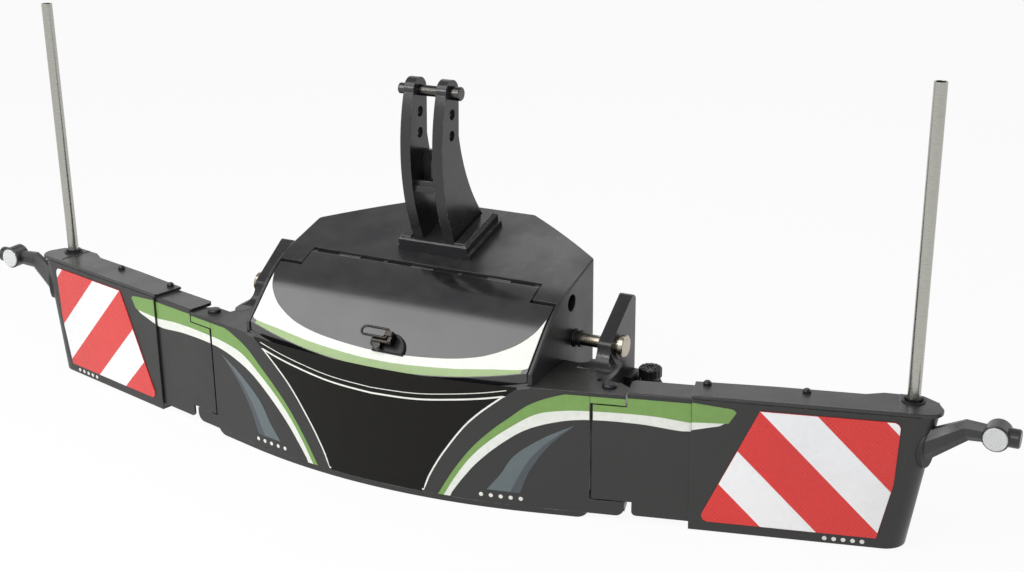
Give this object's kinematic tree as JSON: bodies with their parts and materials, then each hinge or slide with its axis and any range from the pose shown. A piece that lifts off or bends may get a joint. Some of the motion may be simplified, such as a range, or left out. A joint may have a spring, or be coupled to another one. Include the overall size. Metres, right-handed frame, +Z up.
{
  "type": "front bumper weight",
  "caption": "Tractor front ballast block with a lidded storage pocket, three-point hitch mast and pins, and folding bumper wings with hazard boards, poles and lamps.",
  "frame": {"origin": "on the ground under the middle of the bounding box", "axes": "+X along the width to the right as the front is looked at, -Y out of the bumper's front face, +Z up"},
  "size_m": [2.7218, 0.52, 0.987],
  "materials": {
    "block_paint": "gloss",
    "lid_paint": "gloss",
    "tray_steel": "satin",
    "seal_rubber": "matte",
    "hinge_steel": "satin",
    "black_steel": "satin",
    "latch_plate": "gloss",
    "latch_steel": "satin",
    "panel_paint": "satin",
    "mast_paint": "satin",
    "pin_steel": "satin",
    "socket_plastic": "matte",
    "cap_plastic": "gloss",
    "bracket_paint": "satin",
    "bolt_steel": "satin",
    "wing_paint": "satin",
    "wing_top_paint": "satin",
    "reflective_sheet": "retroreflective",
    "pole_steel": "satin",
    "boot_rubber": "matte",
    "arm_rubber": "satin",
    "lamp_plastic": "gloss",
    "lens_clear": "gloss",
    "lens_red": "gloss"
  },
  "bodies": {
    "weight": {"weight_block": "block_paint", "storage_tray": "tray_steel", "tray_seal": "seal_rubber", "lid_hinge_rod": "hinge_steel", "lid_hinge_bearings": "black_steel", "front_panel": "panel_paint", "mast_base": "mast_paint", "mast_cross_plate": "mast_paint", "mast_back_plate": "mast_paint", "socket_bracket": "black_steel", "lamp_socket": "socket_plastic", "mast_cheek_left": "mast_paint", "mast_cheek_right": "mast_paint", "side_bracket_left": "bracket_paint", "side_bracket_right": "bracket_paint", "hitch_ear_left": "bracket_paint", "hitch_ear_right": "bracket_paint", "pin_collar_left": "black_steel", "pin_collar_right": "black_steel", "wing_hinge_pin_left": "bolt_steel", "wing_hinge_pin_right": "bolt_steel"},
    "lid": {"lid": "lid_paint", "latch_base": "latch_plate"},
    "latch": {"latch_neck": "latch_steel"},
    "latch_ring": {"latch_loop": "latch_steel"},
    "top_pin": {"top_link_pin": "pin_steel"},
    "cap": {"socket_cap": "cap_plastic"},
    "lower_pin_left": {"lower_hitch_pin_left": "pin_steel"},
    "wing_left": {"wing_arm_left": "black_steel", "wing_ribs_left": "black_steel", "wing_inner_panel_left": "wing_paint", "wing_inner_top_left": "wing_top_paint", "wing_outer_shell_left": "wing_paint", "wing_outer_top_left": "wing_top_paint", "wing_top_bolts_left": "bolt_steel", "hazard_board_left": "reflective_sheet", "marker_pole_left": "pole_steel", "pole_nut_left": "bolt_steel", "lamp_boot_left": "boot_rubber", "lamp_arm_left": "arm_rubber", "lamp_housing_left": "lamp_plastic", "lamp_lens_front_left": "lens_clear", "lamp_lens_rear_left": "lens_red"},
    "lower_pin_right": {"lower_hitch_pin_right": "pin_steel"},
    "wing_right": {"wing_arm_right": "black_steel", "wing_ribs_right": "black_steel", "wing_inner_panel_right": "wing_paint", "wing_inner_top_right": "wing_top_paint", "wing_outer_shell_right": "wing_paint", "wing_outer_top_right": "wing_top_paint", "wing_top_bolts_right": "bolt_steel", "hazard_board_right": "reflective_sheet", "marker_pole_right": "pole_steel", "pole_nut_right": "bolt_steel", "lamp_boot_right": "boot_rubber", "lamp_arm_right": "arm_rubber", "lamp_housing_right": "lamp_plastic", "lamp_lens_front_right": "lens_clear", "lamp_lens_rear_right": "lens_red"}
  },
  "joints": [
    {"name": "lid_hinge", "type": "hinge", "parent": "weight", "child": "lid", "pos_m": [0, -0.016, 0.45208], "axis": [-1, 0, 0], "range_deg": [0, 80]},
    {"name": "latch_turn", "type": "hinge", "parent": "lid", "child": "latch", "pos_m": [-0.004, -0.211, 0.32419], "axis": [0, -0.6691, 0.7431], "range_deg": [0, 90]},
    {"name": "latch_ring_fold", "type": "hinge", "parent": "latch", "child": "latch_ring", "pos_m": [0.0177, -0.21, 0.36344], "axis": [0, 0.7431, 0.6691], "range_deg": [0, 80]},
    {"name": "top_pin_slide", "type": "slide", "parent": "weight", "child": "top_pin", "axis": [1, 0, 0], "range_m": [0, 0.14]},
    {"name": "lower_pin_left_slide", "type": "slide", "parent": "weight", "child": "lower_pin_left", "axis": [-1, 0, 0], "range_m": [0, 0.125]},
    {"name": "lower_pin_right_slide", "type": "slide", "parent": "weight", "child": "lower_pin_right", "axis": [1, 0, 0], "range_m": [0, 0.125]},
    {"name": "wing_left_fold", "type": "hinge", "parent": "weight", "child": "wing_left", "pos_m": [-0.52716, -0.13389, 0.16], "axis": [0, 0, -1], "range_deg": [0, 30]},
    {"name": "wing_right_fold", "type": "hinge", "parent": "weight", "child": "wing_right", "pos_m": [0.52716, -0.13389, 0.16], "axis": [0, 0, 1], "range_deg": [0, 30]},
    {"name": "socket_cap_hinge", "type": "hinge", "parent": "weight", "child": "cap", "pos_m": [0.526, 0.134, 0.238], "axis": [-1, 0, 0], "range_deg": [0, 100]}
  ]
}
